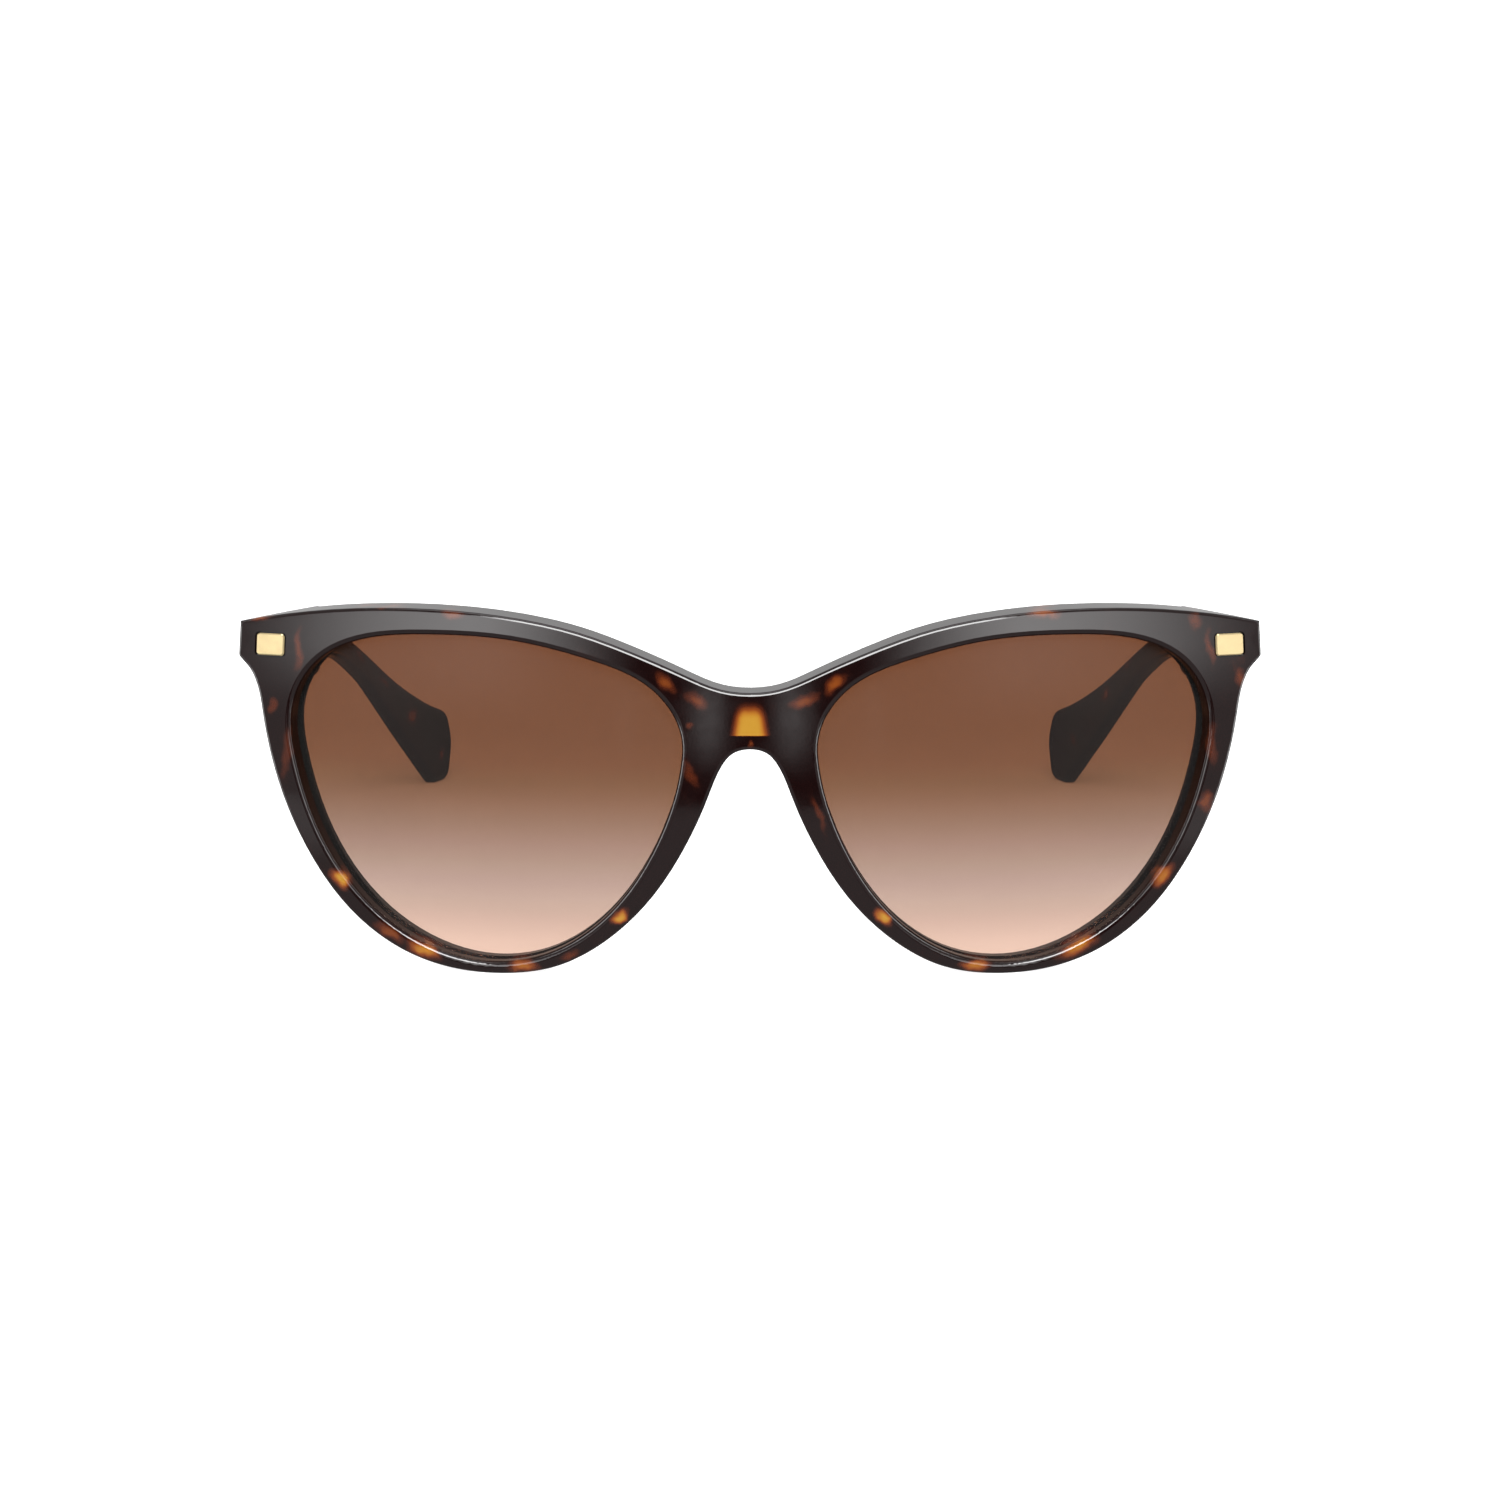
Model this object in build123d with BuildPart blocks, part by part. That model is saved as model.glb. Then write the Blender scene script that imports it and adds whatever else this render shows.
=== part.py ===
"""Cat eye sunglasses: acetate front, graded lenses and two folding temples.

Millimetres. +Z is up, +Y runs from the face of the front back to the temple tips, and +X is the
wearer's left. Pieces are modelled with the bridge's face near Y = 0 and moved to their final place
by save(), so that the origin is under the middle of the object. Left and right are the wearer's.
"""
from build123d import *
from math import cos, hypot, radians, sin, sqrt
import os

# Front: a slab curved about a vertical axis, and more tightly from top to bottom
R_PLAN = 225.0          # radius of the face in plan, about the axis at X = 0, Y = R_PLAN
R_TALL = 150.0          # radius of the face from top to bottom
Z_MID = 26.0            # height at which the face stands upright
FRONT_T = 5.4           # thickness of the acetate
EDGE_ROUND = 0.5        # rounding of the outer edges
RIM_BEVEL = 0.7         # rounding of each aperture's edge, at the face

# Lenses
LENS_R = 133.0          # radius of the lens, about four dioptres of curve
LENS_T = 1.8
LENS_DEPTH = 1.75       # from the face of the front to the middle of the lens
LENS_X, LENS_Z = 37.5, 26.0
LENS_BITE = 0.62        # how far the lens goes into its groove
GROOVE = 0.7            # depth of the groove
LENS_PLAY = 0.05

# Endpieces and hinges
BLOCK_Y = 12.0          # where the endpiece's block starts to narrow, inside the slab
BLOCK_X, BLOCK_LOW = 60.2, 40.4     # inner side and underside of the block there
BUTT_X, BUTT_LOW = 61.6, 41.7       # and at its rear face
BLOCK_OUT, BLOCK_TOP = 80.0, 54.0   # its other two sides, which the outline cuts back
BLOCK_SUNK, BLOCK_REACH = 2.0, 20.0     # it starts and ends this far behind the face
BLOCK_ROUND = 1.0       # rounding of its lower inner edge
BUTT_Y = 19.0           # rear face of the endpiece, which the temple meets
BUTT_GAP = 0.1
SLOPE_SPOT = (72.0, 13.2, 49.25)    # a point of the plane that slopes off the endpiece's top
SLOPE_OUT, SLOPE_BACK = 0.23, 0.3   # its fall outwards and backwards
AXIS_X, AXIS_Y, AXIS_Z = 63.8, 20.9, 44.6
BARREL_R = 1.5
BARREL_H = 0.9          # pitch of the five barrels
BARREL_PLAY = 0.03
SCREW_R = 0.6
BORE_R = 0.65
BARRELS = 5
BUTT_ROUND = 0.4        # rounding round the butt face
HEAD_R, HEAD_H = 1.15, 0.6
SLOT_W = 0.35
LEAF_T = 1.1            # thickness of the hinge leaves
LEAF_SHORT = 0.4        # the front leaf stops this far inside the butt face
FOOT_Y, FOOT_W = 15.6, 3.4     # front end and width of the foot inside the endpiece
PLATE_X, PLATE_L = 66.8, 6.0   # inner face and length of the plate inside the temple

# Gold plaques
PLAQUE_X, PLAQUE_Z = 67.5, 46.0
PLAQUE_W, PLAQUE_H, PLAQUE_T = 4.25, 3.1, 0.75
PLAQUE_PROUD = 0.15     # how far it stands out of the face
PLAQUE_PLAY = 0.2       # gap all round it
PLAQUE_ROUND = 0.5
PLAQUE_BEVEL = 0.18
PIN_R, PIN_L = 0.35, 1.2

# Nose pads: sections behind the rim as (Y, half width, half height, outward shift)
PAD_X, PAD_Z, PAD_TILT = 9.6, 22.6, 22.0
PAD_SECTIONS = [(4.6, 1.75, 7.4, 0.0), (8.0, 1.65, 6.8, 0.1), (10.4, 1.35, 5.9, 0.2), (11.6, 0.85, 5.0, 0.25),
                (12.1, 0.3, 4.1, 0.3)]

# Temples
TEMPLE_IN = 65.6        # inner face of the temple at the hinge
TEMPLE_T, WRAP_T, TIP_T = 3.9, 2.8, 2.4     # thickness at the hinge, at the bend and at the tip
WRAP_Y, WRAP_R = 84.0, 145.0    # where the temple starts to curve inwards, and the radius inside
WRAP_TURN = 30.0        # how far round the curve is drawn, which is past the tip
TEMPLE_HIGH, TEMPLE_LOW = 47.2, 42.2
TEMPLE_TOP = [(60.0, 40.9), (90.0, 35.8), (109.2, 30.0), (118.0, 26.2), (127.5, 21.3), (136.4, 16.7),
              (143.5, 13.35)]
TEMPLE_UNDER = [(60.0, 35.8), (79.4, 32.9), (94.0, 30.3), (104.0, 27.7), (111.0, 24.9), (117.2, 21.8),
                (122.4, 18.3), (132.0, 10.7), (138.0, 5.6)]
TIP_TOP, TIP_BACK, TIP_FOOT, HEEL = (148.1, 11.5), (149.65, 6.4), (148.3, 0.0), (144.1, 0.0)
TIP_TOP_R, TIP_BACK_R, TIP_FOOT_R, HEEL_R = 3.2, 8.0, 2.2, 1.0
TEMPLE_ROUND = 0.75
WIRE_IN, WIRE_W, WIRE_H = 0.7, 1.0, 1.5     # the core wire, and its distance from the inner face
CORE_LINE = [(30.0, 43.0), (60.0, 38.4), (90.0, 33.3), (104.0, 29.8), (111.0, 27.1), (122.4, 21.0),
             (134.0, 13.2)]

HALF_DEPTH = 74.64      # half of the whole length, so that the origin is in the middle

# Room for cutting shapes, larger than the whole object
FAR_OUT, FAR_UP = 90.0, 60.0
SLAB_DEEP, SLAB_TALL = 80.0, 70.0
SLOPE_LONG, SLOPE_WIDE, SLOPE_TALL = 40.0, 50.0, 12.0


def face_y(x, z, depth=0.0):
    """Y of the curved face at x and z, or of the surface that lies depth behind it."""
    tall = R_TALL - depth
    radius = R_PLAN - R_TALL + sqrt(tall**2 - (z - Z_MID) ** 2)
    return R_PLAN - sqrt(radius**2 - x**2)


def face_plane(x, z, depth=0.0):
    """A plane that lies on the face at x and z, its Z pointing out of the face."""
    sin_up = (z - Z_MID) / R_TALL
    cos_up = sqrt(1 - sin_up**2)
    radius = R_PLAN - R_TALL + R_TALL * cos_up
    sin_round = x / radius
    cos_round = sqrt(1 - sin_round**2)
    out = Vector(cos_up * sin_round, -cos_up * cos_round, sin_up)
    spot = Vector(x, face_y(x, z), z) - out * depth
    return Plane(origin=spot, x_dir=(cos_round, sin_round, 0), z_dir=out)


def flatten(points):
    """The same outline on the upright plane that touches the face, seen from the face's axis."""
    return [(x * R_PLAN / (R_PLAN - face_y(x, z)), z) for x, z in points]


def grown(points, by):
    """Move each point of a closed outline outwards, square to the outline there."""
    middle_x = sum(x for x, z in points) / len(points)
    middle_z = sum(z for x, z in points) / len(points)
    moved = []
    for i, (x, z) in enumerate(points):
        before, after = points[i - 1], points[(i + 1) % len(points)]
        side_x, side_z = after[1] - before[1], before[0] - after[0]
        size = hypot(side_x, side_z)
        if side_x * (x - middle_x) + side_z * (z - middle_z) < 0:
            size = -size
        moved.append((x + by * side_x / size, z + by * side_z / size))
    return moved


# Outlines as (x, z) on the face, for the wearer's right half, at X below 0
TOP = [(-71.95, 49.0), (-64.7, 50.45), (-57.0, 51.4), (-48.8, 51.8), (-40.0, 51.6), (-31.9, 50.75),
       (-24.0, 49.1), (-16.5, 46.5), (-9.5, 43.55), (-4.0, 41.4)]
BRIDGE_TOP = (0.0, 40.95)
LOW = [(-72.2, 44.2), (-71.6, 43.5), (-70.75, 42.6), (-69.95, 41.2), (-69.35, 39.4), (-68.8, 36.2),
       (-66.75, 26.9), (-62.5, 16.8), (-56.2, 8.1), (-48.1, 2.4), (-41.0, 0.35), (-34.5, 0.05),
       (-27.5, 1.25), (-20.5, 5.1), (-13.9, 11.6), (-8.9, 19.5), (-6.0, 25.9), (-4.3, 30.05), (-2.3, 32.5)]
BRIDGE_LOW = (0.0, 33.05)
APERTURE = [(-9.5, 32.0), (-10.6, 37.5), (-14.0, 41.5), (-22.2, 45.2), (-33.3, 47.7), (-45.6, 48.2),
            (-54.8, 47.15), (-61.0, 43.9), (-64.5, 37.7), (-64.0, 29.5), (-60.85, 19.8), (-55.05, 10.8),
            (-47.0, 4.5), (-38.0, 1.8), (-29.6, 2.8), (-21.9, 7.3), (-15.75, 14.6), (-11.7, 22.8)]
CONE_FRONT, CONE_BACK = -3.0, 24.0      # where the outlines' cones start and end


def other_side(points):
    return [(-x, z) for x, z in reversed(points)]


def squeeze(points, y):
    """Scale a flattened outline for the upright plane at y, on its way to the axis."""
    return [(x * (R_PLAN - y) / R_PLAN, z) for x, z in points]


def upright(y):
    """The upright plane at y, with local X along X and local Y along Z."""
    return Plane(origin=(0, y, 0), x_dir=(1, 0, 0), z_dir=(0, -1, 0))


def front_outline(y):
    top = squeeze(flatten(TOP + [BRIDGE_TOP] + other_side(TOP)), y)
    low = squeeze(flatten(LOW + [BRIDGE_LOW] + other_side(LOW)), y)
    with BuildSketch(upright(y)) as outline:
        with BuildLine():
            Spline(*top)
            Line(top[-1], low[-1])
            Spline(*low)
            Line(low[0], top[0])
        make_face()
    return outline.sketch


def eye_outline(y, grow=0.0):
    """An aperture's outline, larger all round by grow."""
    with BuildSketch(upright(y)) as outline:
        with BuildLine():
            Spline(*squeeze(flatten(grown(APERTURE, grow)), y), periodic=True)
        make_face()
    return outline.sketch


def eye_cone(grow=0.0):
    with BuildPart() as cone:
        loft([eye_outline(CONE_FRONT, grow), eye_outline(CONE_BACK, grow)], ruled=True)
    return cone.part


def lens_shell(play):
    """The round shell that the right lens is cut from, thicker by play on each side."""
    vertex = face_plane(-LENS_X, LENS_Z, LENS_DEPTH)
    middle = vertex.origin - vertex.z_dir * LENS_R
    with BuildPart() as shell:
        with Locations(middle):
            Sphere(LENS_R + play)
            Sphere(LENS_R - LENS_T - play, mode=Mode.SUBTRACT)
            Box(2 * LENS_R, 2 * LENS_R, 2 * LENS_R, align=(Align.CENTER, Align.MIN, Align.CENTER),
                mode=Mode.SUBTRACT)
    return shell.part


def curved_slab(depth, thickness):
    """A full turn of the curved face, from depth behind it; its seam is at the far side."""
    with BuildPart() as slab:
        with BuildSketch(Plane(origin=(0, R_PLAN, 0), x_dir=(0, 1, 0), z_dir=(1, 0, 0))):
            with Locations((R_PLAN - R_TALL, Z_MID)):
                Circle(R_TALL - depth)
                Circle(R_TALL - depth - thickness, mode=Mode.SUBTRACT)
            with Locations((R_PLAN, Z_MID)):
                Rectangle(SLAB_DEEP, SLAB_TALL, mode=Mode.INTERSECT)
        revolve(axis=Axis((0, R_PLAN, 0), (0, 0, 1)))
    return slab.part


def endpiece_block(side):
    """The block behind an endpiece that narrows back to the hinge's butt face."""
    corner = (Align.MIN if side > 0 else Align.MAX, Align.MIN)
    with BuildPart() as block:
        with BuildSketch(upright(BLOCK_Y)):
            with Locations((side * BLOCK_X, BLOCK_LOW)):
                Rectangle(BLOCK_OUT - BLOCK_X, BLOCK_TOP - BLOCK_LOW, align=corner)
        with BuildSketch(upright(BUTT_Y)):
            with Locations((side * BUTT_X, BUTT_LOW)):
                Rectangle(BLOCK_OUT - BUTT_X, BLOCK_TOP - BUTT_LOW, align=corner)
        loft()
        halfway = (side * (BLOCK_X + BUTT_X) / 2, (BLOCK_Y + BUTT_Y) / 2, (BLOCK_LOW + BUTT_LOW) / 2)
        fillet(block.edges().sort_by_distance(halfway)[0], BLOCK_ROUND)
        add(curved_slab(BLOCK_SUNK, BLOCK_REACH), mode=Mode.INTERSECT)
    return block.part


def top_slope(side):
    """The plane along which the top falls away towards the rear corner of an endpiece."""
    x, y, z = SLOPE_SPOT
    return Plane(origin=(side * x, y, z), x_dir=(0, 1, -SLOPE_BACK), z_dir=(side * SLOPE_OUT, SLOPE_BACK, 1))


def on_outline(edge):
    """Whether an edge belongs to the outer outline: a long run, or one of an endpiece's outer edges."""
    middle = edge.center()
    outermost = abs(middle.X) > 70.7 and middle.Z < 47 and edge.length > 3.6
    return outermost or edge.length > 60


def on_eye_face(edge):
    """Whether an edge is where an aperture meets the face."""
    middle = edge.center()
    return edge.length > 140 and abs(middle.X) > 10 and middle.Y < face_y(middle.X, middle.Z) + 1


def on_butt(edge):
    """Whether an edge runs round a butt face, at the rear end of an endpiece."""
    return edge.center().Y > BUTT_Y - BUTT_ROUND / 2


def mirrored(piece):
    """The same piece on the other side of the wearer."""
    with BuildPart() as twin:
        mirror(piece, about=Plane.YZ)
    return twin.part


def cuboid(x, y, z):
    """A box given by its low and high ends along each axis."""
    with BuildPart() as block:
        with Locations(((x[0] + x[1]) / 2, (y[0] + y[1]) / 2, (z[0] + z[1]) / 2)):
            Box(x[1] - x[0], y[1] - y[0], z[1] - z[0])
    return block.part


def barrel_span(index):
    """The lowest and highest point of one of the five barrels."""
    low = AXIS_Z + (index - BARRELS / 2) * BARREL_H
    return low + BARREL_PLAY, low + BARREL_H - BARREL_PLAY


def barrel(index):
    low, high = barrel_span(index)
    with BuildPart() as ring:
        with BuildSketch(Plane.XY.offset(low)):
            with Locations((-AXIS_X, AXIS_Y)):
                Circle(BARREL_R)
        extrude(amount=high - low)
    return ring.part


def screw_bore(radius):
    with BuildPart() as bore:
        with BuildSketch(Plane.XY.offset(AXIS_Z - BARRELS * BARREL_H)):
            with Locations((-AXIS_X, AXIS_Y)):
                Circle(radius)
        extrude(amount=2 * BARRELS * BARREL_H)
    return bore.part


HINGE_LOW = AXIS_Z - BARRELS * BARREL_H / 2
HINGE_HIGH = AXIS_Z + BARRELS * BARREL_H / 2

# Front hinge half: three barrels on a leaf whose foot is set into the endpiece
with BuildPart() as front_hinge_right:
    for index in (0, 2, 4):
        add(barrel(index))
        add(cuboid((-AXIS_X - LEAF_T / 2, -AXIS_X + LEAF_T / 2), (BUTT_Y - 2 * LEAF_SHORT, AXIS_Y),
                   barrel_span(index)))
    leaf_z = (HINGE_LOW + BARREL_PLAY, HINGE_HIGH - BARREL_PLAY)
    add(cuboid((-AXIS_X - LEAF_T / 2, -AXIS_X + LEAF_T / 2), (FOOT_Y, BUTT_Y - LEAF_SHORT), leaf_z))
    add(cuboid((-AXIS_X - FOOT_W / 2, -AXIS_X + FOOT_W / 2), (FOOT_Y, FOOT_Y + LEAF_T), leaf_z))
    add(screw_bore(BORE_R), mode=Mode.SUBTRACT)

# Temple hinge half: two barrels on a plate that is set into the temple
with BuildPart() as temple_hinge_right:
    for index in (1, 3):
        add(barrel(index))
        add(cuboid((-PLATE_X, -AXIS_X), (AXIS_Y - LEAF_T / 2, AXIS_Y + LEAF_T / 2), barrel_span(index)))
    add(cuboid((-PLATE_X - LEAF_T, -PLATE_X), (AXIS_Y - LEAF_T / 2, AXIS_Y + PLATE_L),
               (HINGE_LOW + BARREL_H, HINGE_HIGH - BARREL_H)))
    add(screw_bore(BORE_R), mode=Mode.SUBTRACT)

# Hinge screw: shank through all five barrels and a slotted head on the top one
with BuildPart() as hinge_screw_right:
    with BuildSketch(Plane.XY.offset(HINGE_LOW)):
        with Locations((-AXIS_X, AXIS_Y)):
            Circle(SCREW_R)
    extrude(amount=HINGE_HIGH - HINGE_LOW)
    with BuildSketch(Plane.XY.offset(HINGE_HIGH - BARREL_PLAY)):
        with Locations((-AXIS_X, AXIS_Y)):
            Circle(HEAD_R)
    extrude(amount=HEAD_H)
    fillet(hinge_screw_right.edges().group_by(Axis.Z)[-1], HEAD_H / 3)
    with BuildSketch(Plane.XY.offset(HINGE_HIGH + HEAD_H)):
        with Locations((-AXIS_X, AXIS_Y)):
            Rectangle(SLOT_W, 3 * HEAD_R)
    extrude(amount=-HEAD_H / 2, mode=Mode.SUBTRACT)

# Gold plaque: a bevelled plate in a recess of the endpiece, held by two blind pins
plaque_seat = face_plane(-PLAQUE_X, PLAQUE_Z, PLAQUE_T - PLAQUE_PROUD)
with BuildPart() as plaque_right:
    with BuildSketch(plaque_seat):
        RectangleRounded(PLAQUE_W, PLAQUE_H, PLAQUE_ROUND)
    extrude(amount=PLAQUE_T)
    chamfer(plaque_right.faces().sort_by(Axis.Y)[0].edges(), PLAQUE_BEVEL)
    with BuildSketch(plaque_seat):
        with GridLocations(PLAQUE_W / 2, 0, 2, 1):
            Circle(PIN_R)
    extrude(amount=-PIN_L)
with BuildPart() as plaque_recess:
    with BuildSketch(plaque_seat):
        RectangleRounded(PLAQUE_W + 2 * PLAQUE_PLAY, PLAQUE_H + 2 * PLAQUE_PLAY, PLAQUE_ROUND + PLAQUE_PLAY)
    extrude(amount=3 * PLAQUE_T)
    with BuildSketch(plaque_seat):
        with GridLocations(PLAQUE_W / 2, 0, 2, 1):
            Circle(PIN_R)
    extrude(amount=-PIN_L)

# Front frame: the rounded blank, then its eyes, grooves and pockets
with BuildPart() as eye_groove:
    add(eye_cone(GROOVE))
    add(lens_shell(LENS_PLAY), mode=Mode.INTERSECT)

with BuildPart() as front_frame:
    add(curved_slab(0.0, FRONT_T))
    for side in (-1, 1):
        add(endpiece_block(side))
    loft([front_outline(CONE_FRONT), front_outline(CONE_BACK)], ruled=True, mode=Mode.INTERSECT)
    for side in (-1, 1):
        with BuildSketch(top_slope(side)):
            Rectangle(SLOPE_LONG, SLOPE_WIDE)
        extrude(amount=SLOPE_TALL, mode=Mode.SUBTRACT)
    fillet(front_frame.edges().filter_by(on_outline), EDGE_ROUND)
    fillet(front_frame.edges().filter_by(on_butt), BUTT_ROUND)
    for eye in (eye_cone(), mirrored(eye_cone())):
        add(eye, mode=Mode.SUBTRACT)
    fillet(front_frame.edges().filter_by(on_eye_face), RIM_BEVEL)
    for pocket in (eye_groove, plaque_recess, front_hinge_right):
        add(pocket.part, mode=Mode.SUBTRACT)
        add(mirrored(pocket.part), mode=Mode.SUBTRACT)

# Lenses
with BuildPart() as lens_right:
    add(eye_cone(LENS_BITE))
    add(lens_shell(0.0), mode=Mode.INTERSECT)

# Nose pads: rounded wedges bonded behind the rims, either side of the bridge
with BuildPart() as nose_pad_right:
    for y, wide, tall, shift in PAD_SECTIONS:
        with BuildSketch(upright(y)):
            with Locations(Location((-PAD_X - shift, PAD_Z, 0), (0, 0, -PAD_TILT))):
                Ellipse(wide, tall)
    loft()
    add(curved_slab(0.0, FRONT_T), mode=Mode.SUBTRACT)
    add(eye_cone(), mode=Mode.SUBTRACT)


def inner_run(offset, start):
    """Draw the temple's inner face from above, moved outwards by offset; return its two ends."""
    straight = Line((-TEMPLE_IN - offset, start), (-TEMPLE_IN - offset, WRAP_Y))
    bent = CenterArc((WRAP_R - TEMPLE_IN, WRAP_Y), WRAP_R + offset, 180, -WRAP_TURN)
    return straight @ 0, bent @ 1


# Core wire: a flat wire that runs inside the temple from behind the hinge into the tip
with BuildPart() as core_wire_right:
    with BuildSketch(Plane.YZ):
        with BuildLine():
            Spline(*CORE_LINE)
        trace(line_width=WIRE_H)
    extrude(amount=-FAR_OUT)
    with BuildSketch(Plane.XY):
        with BuildLine():
            near_inner, far_inner = inner_run(WIRE_IN, CORE_LINE[0][0] - WIRE_H)
            near_outer, far_outer = inner_run(WIRE_IN + WIRE_W, CORE_LINE[0][0] - WIRE_H)
            Line(near_inner, near_outer)
            Line(far_inner, far_outer)
        make_face()
    extrude(amount=FAR_UP, mode=Mode.INTERSECT)

# Temple: cut from a sheet to its side outline, thinned towards the tip and bent inwards over the ear
with BuildPart() as temple_right:
    with BuildSketch(Plane.YZ) as side_view:
        with BuildLine():
            Line((BUTT_Y + BUTT_GAP, TEMPLE_LOW), (BUTT_Y + BUTT_GAP, TEMPLE_HIGH))
            Spline((BUTT_Y + BUTT_GAP, TEMPLE_HIGH), *TEMPLE_TOP)
            Polyline(TEMPLE_TOP[-1], TIP_TOP, TIP_BACK, TIP_FOOT, HEEL, TEMPLE_UNDER[-1])
            Spline((BUTT_Y + BUTT_GAP, TEMPLE_LOW), *TEMPLE_UNDER)
        make_face()
        corners = {TIP_TOP: TIP_TOP_R, TIP_BACK: TIP_BACK_R, TIP_FOOT: TIP_FOOT_R, HEEL: HEEL_R}
        for corner, radius in corners.items():
            fillet(side_view.vertices().sort_by_distance(corner)[0], radius)
    extrude(amount=-FAR_OUT)
    with BuildSketch(Plane.XY):
        with BuildLine():
            near_inner, far_inner = inner_run(0.0, BUTT_Y)
            outside = Line((-TEMPLE_IN - TEMPLE_T, BUTT_Y), (-TEMPLE_IN - WRAP_T, WRAP_Y))
            turn = radians(WRAP_TURN)
            far_outer = far_inner + TIP_T * Vector(-cos(turn), sin(turn))
            TangentArc(outside @ 1, far_outer, tangent=outside % 1)
            Line(near_inner, outside @ 0)
            Line(far_inner, far_outer)
        make_face()
    extrude(amount=FAR_UP, mode=Mode.INTERSECT)
    fillet(temple_right.edges().filter_by(lambda edge: edge.center().Y > BUTT_Y + 1), TEMPLE_ROUND)
    for pocket in (temple_hinge_right, core_wire_right):
        add(pocket.part, mode=Mode.SUBTRACT)


def save(piece, label):
    """Label a piece, move it so that the origin is under the object's middle, and write it."""
    moved = Pos(0, -HALF_DEPTH, 0) * piece
    moved.label = label
    export_step(moved, f"parts/{label}.step")


os.makedirs("parts", exist_ok=True)
save(front_frame.part, "front_frame")
PAIRS = {
    "lens": lens_right,
    "nose_pad": nose_pad_right,
    "plaque": plaque_right,
    "front_hinge": front_hinge_right,
    "hinge_screw": hinge_screw_right,
    "temple_hinge": temple_hinge_right,
    "core_wire": core_wire_right,
    "temple": temple_right,
}
for name, right in PAIRS.items():
    save(right.part, name + "_right")
    save(mirrored(right.part), name + "_left")
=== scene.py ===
"""Looks of the cat eye sunglasses: tortoise acetate, graded lenses, gold plates and hinges.

Everything is in metres, in the frame of the CAD model. +Y runs from the face of the front back
to the temple tips, +X is the wearer's left, and the floor is at Z = 0. Places and sizes of the
patches in the acetate are written in millimetres, and angles of the studio in degrees.
"""
import bpy
import math
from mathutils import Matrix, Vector


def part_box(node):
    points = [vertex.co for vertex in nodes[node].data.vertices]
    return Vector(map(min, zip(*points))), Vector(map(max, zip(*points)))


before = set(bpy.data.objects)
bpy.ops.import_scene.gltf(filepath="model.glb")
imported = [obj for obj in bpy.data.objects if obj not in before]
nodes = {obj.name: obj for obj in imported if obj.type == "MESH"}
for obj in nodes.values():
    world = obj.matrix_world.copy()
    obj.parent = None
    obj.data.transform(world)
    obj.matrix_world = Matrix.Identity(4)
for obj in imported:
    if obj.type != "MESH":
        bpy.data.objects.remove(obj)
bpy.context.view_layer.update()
MM = 0.001
FACE_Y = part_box("front_frame")[0].y       # the most forward point of the front


# ---------------------------------------------------------------- node helpers

class Graph:
    """The shader graph of a new material or world, with short ways to add and link nodes."""

    def __init__(self, owner):
        owner.use_nodes = True
        self.tree = owner.node_tree
        self.tree.nodes.clear()

    def add(self, kind, inputs=None, **settings):
        node = self.tree.nodes.new("ShaderNode" + kind)
        for key, value in settings.items():
            setattr(node, key, value)
        for key, value in (inputs or {}).items():
            self.feed(node.inputs[key], value)
        return node

    def feed(self, socket, value):
        if isinstance(value, bpy.types.NodeSocket):
            self.tree.links.new(value, socket)
        else:
            socket.default_value = value

    def math(self, operation, *values):
        return self.add("Math", dict(enumerate(values)), operation=operation).outputs[0]

    def vector(self, operation, *values):
        node = self.add("VectorMath", dict(enumerate(values)), operation=operation)
        return node.outputs["Value" if operation == "LENGTH" else "Vector"]

    def smooth(self, value, low, high, to_low=0.0, to_high=1.0):
        """A smooth step of value from low to high."""
        inputs = {"Value": value, "From Min": low, "From Max": high, "To Min": to_low, "To Max": to_high}
        return self.add("MapRange", inputs, interpolation_type="SMOOTHSTEP").outputs["Result"]

    def product(self, *values):
        total = values[0]
        for value in values[1:]:
            total = self.math("MULTIPLY", total, value)
        return total

    def mix(self, factor, a, b):
        node = self.add("Mix", {0: factor, 6: a, 7: b}, data_type="RGBA")
        return node.outputs[2]

    def noise(self, vector, scale, detail=3.0, roughness=0.5, distortion=0.0):
        inputs = {"Vector": vector, "Scale": scale, "Detail": detail, "Roughness": roughness,
                  "Distortion": distortion}
        return self.add("TexNoise", inputs)

    def ramp(self, factor, stops):
        node = self.add("ValToRGB", {0: factor})
        elements = node.color_ramp.elements
        while len(elements) < len(stops):
            elements.new(1.0)
        for element, (place, colour) in zip(elements, stops):
            element.position = place
            element.color = (*colour, 1.0)
        return node.outputs["Color"]

    def finish(self, shader, kind="OutputMaterial"):
        self.tree.links.new(shader.outputs[0], self.add(kind).inputs["Surface"])


# ---------------------------------------------------------------- tortoise acetate

# Colour of the acetate from the dark body to the heart of a patch
TORTOISE = [(0.0, (0.0036, 0.0009, 0.0009)), (0.12, (0.0050, 0.0011, 0.0009)),
            (0.34, (0.034, 0.0065, 0.0022)), (0.58, (0.115, 0.027, 0.0045)),
            (0.80, (0.20, 0.078, 0.009)), (1.0, (0.235, 0.135, 0.016))]
THROUGH = 1.0           # half size of a patch along the sheet's thin way, so that it goes right through
WANDER = 0.0022         # how far the patches' edges wander
GRAIN = 0.06            # how much the fine grain shifts the amount of amber

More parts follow.
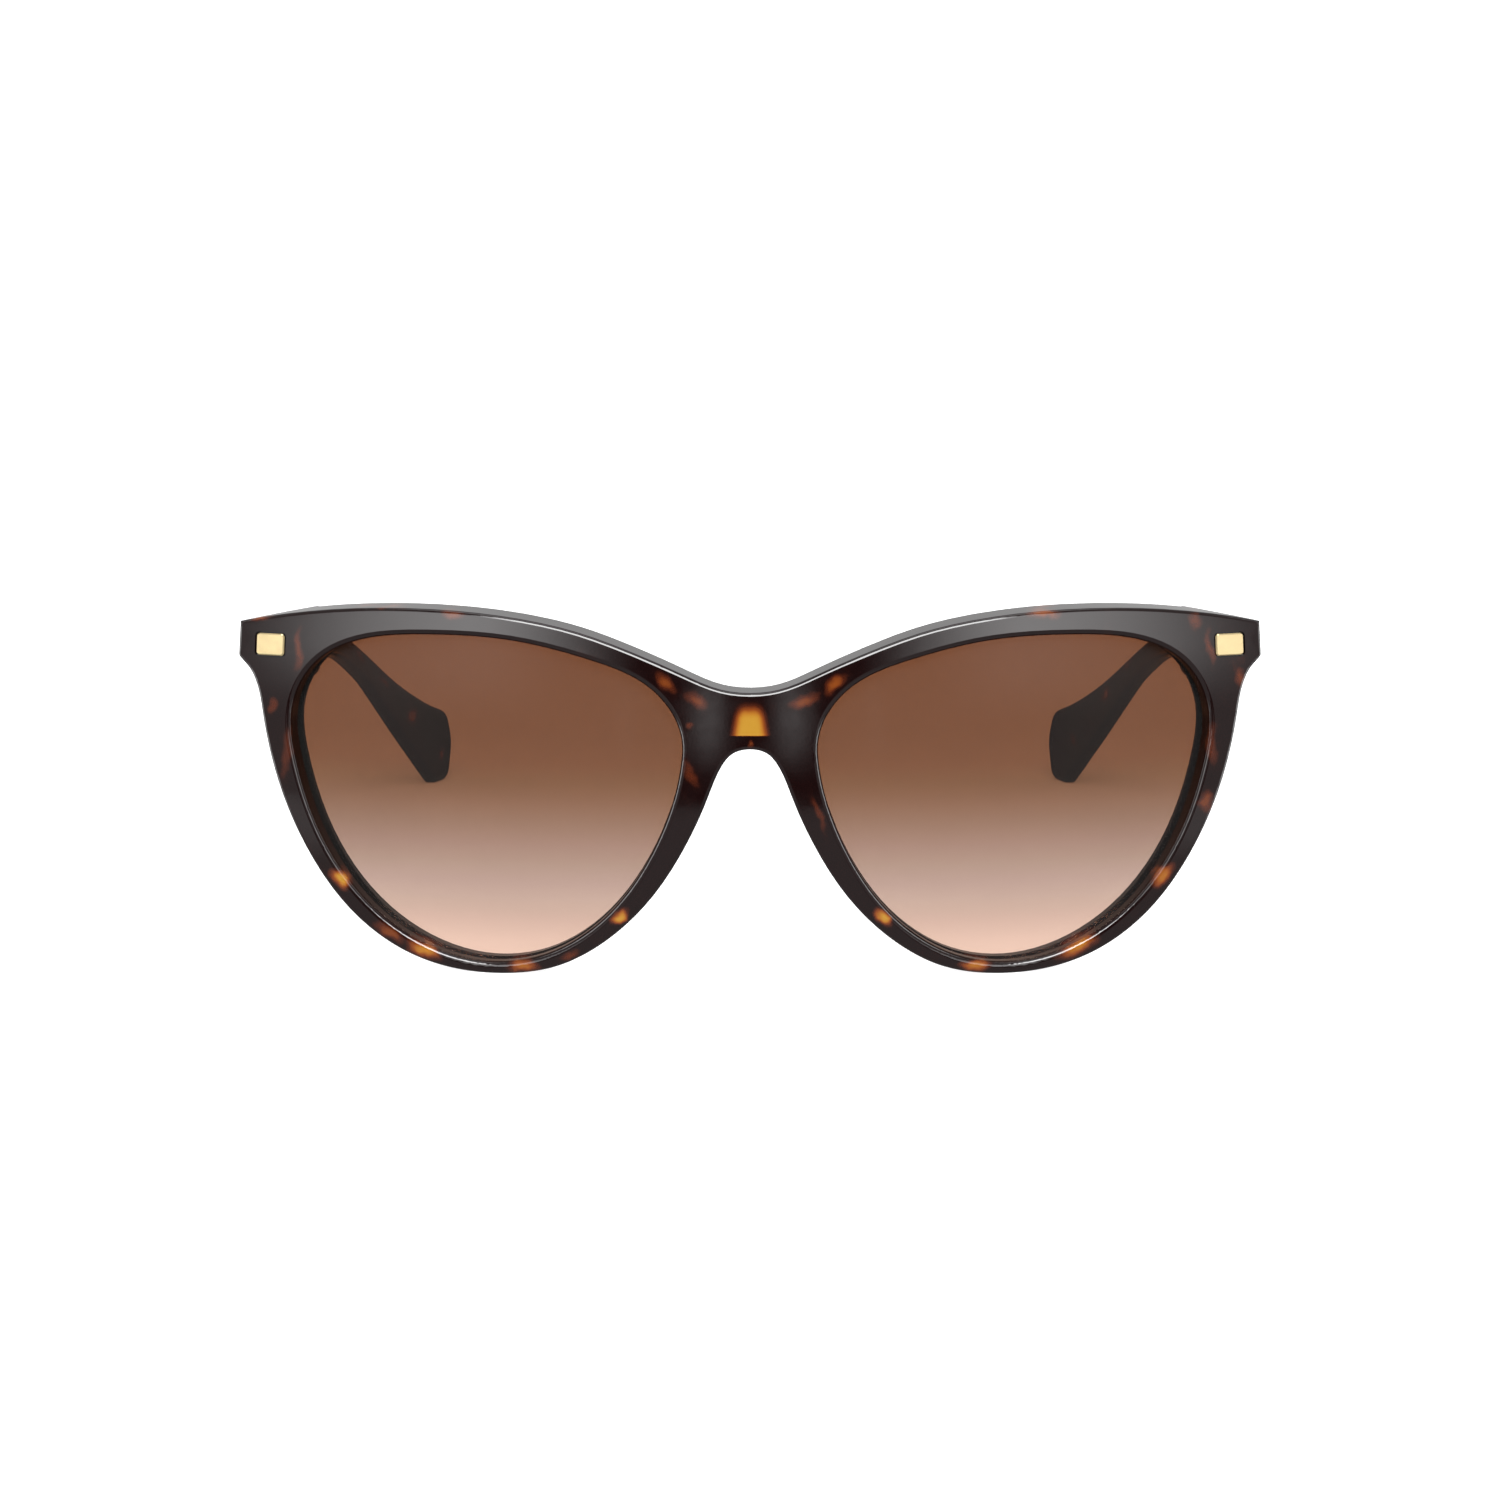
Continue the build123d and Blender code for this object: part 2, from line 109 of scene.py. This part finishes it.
# The yellow window in the middle of the bridge, a clear amber patch whose colour here also paints the glow of
# light shining through it: half its width at Z = 0 and how that falls with height
WINDOW_HALF, WINDOW_TAPER = 8.75 * MM, -0.17
WINDOW_FOOT = (34.95 * MM, 35.12 * MM)      # its sharp lower edge
WINDOW_TOP = (40.5 * MM, 37.3 * MM)         # and its soft upper one
WINDOW_SIDE = (-0.65 * MM, 1.55 * MM)       # distance inside its sides over which it comes up
WINDOW_DEEP = 4 * MM                        # how far behind the face it has gone
WINDOW_AND_GLOW_STRENGTH = 0.93


def blobs(graph, place, patches, axis):
    """How amber each point is: soft ellipses that go right through the sheet, seen along its thin way.

    Each is (along, up, half length, half height, tilt in degrees, strength), and axis is 0 where
    along means X, as in the front, or 1 where it means Y, as in a temple.
    """
    total = 0.0
    for along, up, long, tall, tilt, strength in patches:
        if axis == 0:
            spot, size, turn = (along * MM, 0, up * MM), (long * MM, THROUGH, tall * MM), (0, -tilt, 0)
        else:
            spot, size, turn = (0, along * MM, up * MM), (THROUGH, long * MM, tall * MM), (tilt, 0, 0)
        turn = tuple(math.radians(angle) for angle in turn)
        inside = graph.add("Mapping", {"Vector": place, "Location": spot, "Rotation": turn, "Scale": size},
                           vector_type="TEXTURE").outputs[0]
        blob = graph.smooth(graph.vector("LENGTH", inside), 1.0, 0.1, 0.0, strength)
        total = graph.math("MAXIMUM", total, blob)
    return total


def bridge_window_and_painted_glow(graph, place):
    """How amber each point is in the window, which is wider below, where its edge is sharp; this amber also
    paints the glow of light shining through the clear acetate.
    """
    split = graph.add("SeparateXYZ", {0: place})
    x, y, z = split.outputs
    half_width = graph.math("MULTIPLY_ADD", z, WINDOW_TAPER, WINDOW_HALF)
    inward = graph.math("SUBTRACT", half_width, graph.math("ABSOLUTE", x))
    return graph.product(WINDOW_AND_GLOW_STRENGTH, graph.smooth(inward, *WINDOW_SIDE), graph.smooth(z, *WINDOW_FOOT),
                         graph.smooth(z, *WINDOW_TOP), graph.smooth(y, FACE_Y + WINDOW_DEEP, FACE_Y + MM))


def acetate(name, patches, axis, mottle, window=False):
    """Polished dark tortoise acetate, with amber patches and a faint mottle between them, and where window is
    set, the bridge window with its painted glow.
    """
    material = bpy.data.materials.new(name)
    graph = Graph(material)
    still = graph.add("TexCoord").outputs["Object"]
    wander = graph.noise(still, 330.0, 2.0).outputs["Color"]
    wander = graph.vector("SUBTRACT", wander, (0.5, 0.5, 0.5))
    wander = graph.vector("MULTIPLY", wander, (WANDER, WANDER, WANDER))
    place = graph.vector("ADD", still, wander)
    amount = blobs(graph, place, patches, axis)
    # The bridge window's amber, which also paints the glow of light shining through the clear acetate
    if window:
        amount = graph.math("MAXIMUM", amount, bridge_window_and_painted_glow(graph, still))
    streak = graph.vector("MULTIPLY", place, (1.6, 1.0, 0.7))
    cloud = graph.noise(streak, 120.0, 3.0, 0.55, 0.5).outputs["Fac"]
    amount = graph.math("MAXIMUM", amount, graph.smooth(cloud, 0.55, 0.80, 0.0, mottle))
    grain = graph.noise(still, 1400.0, 3.0).outputs["Fac"]
    amount = graph.math("MULTIPLY_ADD", graph.math("SUBTRACT", grain, 0.5), GRAIN, amount)
    polish = graph.noise(still, 420.0, 3.0).outputs["Fac"]
    fine = graph.noise(still, 2400.0, 2.0).outputs["Fac"]
    bump = graph.add("Bump", {"Strength": 0.006, "Distance": 0.0002, "Height": fine})
    graph.finish(graph.add("BsdfPrincipled", {
        "Base Color": graph.ramp(amount, TORTOISE),
        "Roughness": graph.smooth(polish, 0.3, 0.7, 0.05, 0.09),
        "IOR": 1.49,
        "Normal": bump.outputs["Normal"],
    }))
    return material


# ---------------------------------------------------------------- other materials

WEAR = 0.94             # how dark the worn parts of a metal are, as a share of its colour


def metal(name, colour, roughness, scratch):
    """A polished or satin metal with fine directional scratches, scratch being their strength."""
    material = bpy.data.materials.new(name)
    graph = Graph(material)
    place = graph.add("TexCoord").outputs["Object"]
    stretched = graph.vector("MULTIPLY", place, (600.0, 600.0, 9000.0))
    lines = graph.noise(stretched, 1.0, 4.0, 0.6).outputs["Fac"]
    wear = graph.noise(place, 500.0, 3.0).outputs["Fac"]
    dark = tuple(c * WEAR for c in colour)
    bump = graph.add("Bump", {"Strength": scratch, "Distance": 0.00005, "Height": lines})
    graph.finish(graph.add("BsdfPrincipled", {
        "Base Color": graph.mix(graph.smooth(wear, 0.35, 0.65), (*dark, 1), (*colour, 1)),
        "Metallic": 1.0,
        "Roughness": graph.smooth(lines, 0.3, 0.7, roughness * 0.8, roughness * 1.2),
        "Normal": bump.outputs["Normal"],
    }))
    return material


# Tint of the lens from its foot to its top, as (part of its height, transmitted colour)
TINT = [(0.0, (0.62, 0.445, 0.365)), (0.077, (0.554, 0.391, 0.317)), (0.137, (0.479, 0.334, 0.272)),
        (0.197, (0.40, 0.285, 0.231)), (0.257, (0.319, 0.219, 0.182)), (0.317, (0.260, 0.174, 0.136)),
        (0.376, (0.224, 0.137, 0.1045)), (0.436, (0.192, 0.110, 0.075)), (0.496, (0.169, 0.0855, 0.0515)),
        (0.556, (0.140, 0.065, 0.033)), (0.616, (0.124, 0.050, 0.0237)), (0.70, (0.1125, 0.0435, 0.0196)),
        (1.0, (0.1065, 0.0385, 0.0166))]


TINT_WAVER = 0.6 * MM   # how unevenly the tint runs
HAZE = 0.006            # share of light that the lens scatters
COATING = 0.08          # how much of a bare surface's reflection the coating leaves


def lens_glass():
    """Graded brown lens: tinted through, with a coating that leaves a faint sheen."""
    low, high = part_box("lens_right")
    material = bpy.data.materials.new("graded_lens")
    graph = Graph(material)
    place = graph.add("TexCoord").outputs["Object"]
    waver = graph.noise(place, 60.0, 2.0).outputs["Fac"]
    height = graph.math("MULTIPLY_ADD", waver, TINT_WAVER, graph.add("SeparateXYZ", {0: place}).outputs["Z"])
    height = graph.add("MapRange", {"Value": height, "From Min": low.z, "From Max": high.z}).outputs["Result"]
    # Light crosses two surfaces, so each takes the square root of the tint
    tint = graph.ramp(height, [(at, tuple(math.sqrt(c) for c in rgb)) for at, rgb in TINT])
    clear = graph.add("BsdfTransparent", {"Color": tint})
    haze = graph.add("BsdfDiffuse", {"Color": (1, 1, 1, 1)})
    hazy = graph.add("MixShader", {0: HAZE, 1: clear.outputs[0], 2: haze.outputs[0]})
    gloss = graph.add("BsdfGlossy", {"Color": (1, 1, 1, 1), "Roughness": 0.05})
    fresnel = graph.add("Fresnel", {"IOR": 1.5})
    coated = graph.math("MULTIPLY", fresnel.outputs[0], COATING)
    graph.finish(graph.add("MixShader", {0: coated, 1: hazy.outputs[0], 2: gloss.outputs[0]}))
    return material


def wear_material(material, *names):
    for name in names:
        data = nodes[name].data
        data.materials.clear()
        data.materials.append(material)


# Amber patches as (along, up, half length, half height, tilt, strength), which blobs() explains
FRONT_PATCHES = [
    # bridge
    (0.0, 33.9, 0.6, 1.0, 0, 0.40), (-11.6, 42.4, 1.8, 3.0, 50, 0.48), (-7.6, 40.0, 3.2, 1.5, -35, 0.42),
    (-8.3, 36.3, 0.9, 1.1, 0, 0.36), (-8.2, 30.0, 1.5, 3.6, 20, 0.34), (7.6, 40.1, 3.4, 1.7, 25, 0.44),
    (11.9, 42.2, 3.0, 1.7, 45, 0.54), (9.6, 24.0, 0.9, 5.0, 18, 0.33),
    # wearer's right rim
    (-57.7, 13.1, 2.6, 2.0, -50, 0.92), (-51.0, 5.6, 3.8, 1.7, -38, 0.48), (-46.0, 3.1, 4.4, 1.7, -28, 0.80),
    (-31.8, 1.2, 3.6, 1.5, 0, 0.66), (-25.2, 3.3, 2.4, 1.2, 20, 0.36), (-18.2, 9.0, 2.3, 1.2, 42, 0.92),
    (-41.3, 51.1, 2.6, 1.2, 0, 0.42), (-63.4, 45.5, 1.1, 5.0, -6, 0.37), (-67.4, 37.4, 1.0, 1.6, 0, 0.34),
    (-52.0, 52.2, 5.5, 1.2, 0, 0.60), (-69.0, 50.0, 3.0, 1.2, 12, 0.58), (-65.3, 31.0, 1.5, 6.5, -8, 0.31),
    # wearer's left rim
    (40.8, 51.3, 3.2, 1.6, 0, 0.52), (62.4, 49.4, 1.4, 2.2, 20, 0.36), (64.7, 45.8, 1.0, 4.4, 8, 0.36),
    (69.2, 41.2, 1.5, 2.4, 10, 0.38), (64.5, 23.9, 1.7, 2.4, 15, 0.42), (58.3, 13.6, 1.8, 3.2, -40, 0.70),
    (46.3, 3.6, 5.0, 1.9, 30, 0.76), (31.6, 1.2, 3.6, 1.5, 0, 0.70), (18.7, 8.9, 2.4, 1.3, -42, 0.92),
    (65.2, 32.0, 1.4, 5.0, 6, 0.33),
]
RIGHT_TEMPLE_PATCHES = [
    (-35, 43.5, 8.0, 3.0, -6, 0.72), (-8, 38.5, 6.0, 1.8, -10, 0.60), (16, 34.0, 7.0, 2.0, -12, 0.78),
    (38, 27.0, 5.0, 1.0, -30, 0.56), (50, 20.5, 4.0, 1.0, -35, 0.60), (61, 13.0, 3.0, 2.2, -20, 0.72),
    (71, 5.0, 2.0, 1.3, 60, 0.54),
]
LEFT_TEMPLE_PATCHES = [
    (-30, 42.0, 7.0, 2.6, -8, 0.70), (2, 37.0, 8.0, 2.0, -10, 0.68), (26, 32.0, 5.0, 1.6, -20, 0.60),
    (44, 25.0, 5.0, 1.0, -30, 0.57), (54, 18.0, 3.4, 1.8, -35, 0.72), (66, 8.0, 2.0, 1.2, 40, 0.52),
]
front_acetate = acetate("tortoise_front", FRONT_PATCHES, 0, 0.22, window=True)
wear_material(front_acetate, "front_frame", "nose_pad_right", "nose_pad_left")
wear_material(acetate("tortoise_temple_right", RIGHT_TEMPLE_PATCHES, 1, 0.32), "temple_right")
wear_material(acetate("tortoise_temple_left", LEFT_TEMPLE_PATCHES, 1, 0.32), "temple_left")
wear_material(lens_glass(), "lens_right", "lens_left")
wear_material(metal("gold_plate", (0.90, 0.71, 0.39), 0.17, 0.02), "plaque_right", "plaque_left")
wear_material(metal("nickel_silver", (0.62, 0.55, 0.44), 0.25, 0.12),
              "front_hinge_right", "front_hinge_left", "temple_hinge_right", "temple_hinge_left")
wear_material(metal("screw_steel", (0.68, 0.66, 0.62), 0.18, 0.08), "hinge_screw_right", "hinge_screw_left")
wear_material(metal("core_wire_metal", (0.60, 0.56, 0.50), 0.3, 0.15), "core_wire_right", "core_wire_left")


# ---------------------------------------------------------------- studio

FLOOR_HALF = 12.0       # half of the floor's side
FLOOR_GREY = 0.45       # how much of the studio's light it returns
GLOW_FROM, GLOW_TO = 0.0, 0.060     # Y between which its glow falls
GLOW_NEAR, GLOW_FAR = 0.95, 0.72    # its glow at the front and behind


def floor():
    """A plain white light table, glowing softly and a little less behind, which gloss does not see."""
    half = FLOOR_HALF
    mesh = bpy.data.meshes.new("studio_floor")
    corners = [(-half, -half, 0), (half, -half, 0), (half, half, 0), (-half, half, 0)]
    mesh.from_pydata(corners, [], [(0, 1, 2, 3)])
    plane = bpy.data.objects.new("studio_floor", mesh)
    bpy.context.collection.objects.link(plane)
    material = bpy.data.materials.new("floor_white")
    graph = Graph(material)
    lit = graph.add("BsdfDiffuse", {"Color": (FLOOR_GREY, FLOOR_GREY, FLOOR_GREY, 1)})
    back = graph.add("SeparateXYZ", {0: graph.add("TexCoord").outputs["Object"]}).outputs["Y"]
    power = graph.smooth(back, GLOW_FROM, GLOW_TO, GLOW_NEAR, GLOW_FAR)
    glow = graph.add("Emission", {"Color": (1, 1, 1, 1), "Strength": power})
    graph.finish(graph.add("AddShader", {0: lit.outputs[0], 1: glow.outputs[0]}))
    mesh.materials.append(material)
    plane.visible_glossy = False


def studio_world():
    """Soft lights by direction: round is the angle to either side of the front, up the height."""
    world = bpy.data.worlds.new("studio")
    graph = Graph(world)
    split = graph.add("SeparateXYZ", {0: graph.add("TexCoord").outputs["Generated"]})
    x, y, z = split.outputs
    degree = 180 / math.pi
    ahead = graph.math("MULTIPLY", y, -1.0)
    round_ = graph.math("MULTIPLY", graph.math("ABSOLUTE", graph.math("ARCTAN2", x, ahead)), degree)
    up = graph.math("MULTIPLY", graph.math("ARCSINE", z), degree)

    def panel(power, *edges):
        """A light that each (angle, outside, inside) fades in."""
        return graph.product(power, *(graph.smooth(angle, start, end) for angle, start, end in edges))

    panels = [
        # two soft boxes either side of the camera and just above it
        panel(4.9, (round_, 8.5, 24.0), (round_, 46.0, 22.0), (up, -3.0, 6.0), (up, 40.0, 20.0)),
        # a high box over the camera
        panel(20.0, (round_, 26.0, 16.0), (up, 22.0, 27.0), (up, 56.0, 50.0)),
        # ceiling
        panel(2.0, (up, 66.0, 76.0)),
        # side walls
        panel(4.6, (round_, 70.0, 79.0), (round_, 106.0, 92.0), (up, -32.0, -18.0), (up, 60.0, 40.0)),
        # pale flank between the front boxes and the side walls
        panel(0.45, (round_, 24.0, 36.0), (up, -20.0, -16.0)),
        # narrow gleams either side of the dark gap where the camera stands
        panel(1.3, (round_, 1.2, 3.4), (round_, 5.8, 3.4), (up, -9.5, -2.0), (up, 5.0, 0.0)),
        # sweep in front and back wall
        panel(0.42, (up, -11.5, -13.0)),
        panel(0.2, (round_, 120.0, 140.0), (up, -5.0, 3.0)),
        0.04,
    ]
    total = panels[0]
    for light in panels[1:]:
        total = graph.math("ADD", total, light)
    graph.finish(graph.add("Background", {"Color": (1, 1, 1, 1), "Strength": total}), "OutputWorld")
    bpy.context.scene.world = world


CAMERA_DISTANCE = 0.700
CAMERA_RISE = 10.8      # degrees above the horizon
CAMERA_AIM_Z = 33.1 * MM
SENSOR, FOCAL = 36.0, 120.96    # width of the sensor and focal length, in millimetres
CLIP = (0.01, 50.0)


def camera():
    distance, rise, aim_z = CAMERA_DISTANCE, math.radians(CAMERA_RISE), CAMERA_AIM_Z
    data = bpy.data.cameras.new("camera")
    data.sensor_width = SENSOR
    data.lens = FOCAL
    data.clip_start, data.clip_end = CLIP
    eye = bpy.data.objects.new("camera", data)
    aim = Vector((0, FACE_Y, aim_z))
    eye.location = aim + distance * Vector((0, -math.cos(rise), math.sin(rise)))
    eye.rotation_euler = (math.pi / 2 - rise, 0, 0)
    bpy.context.collection.objects.link(eye)
    bpy.context.scene.camera = eye


floor()
studio_world()
camera()
bpy.context.scene.view_settings.view_transform = "Standard"
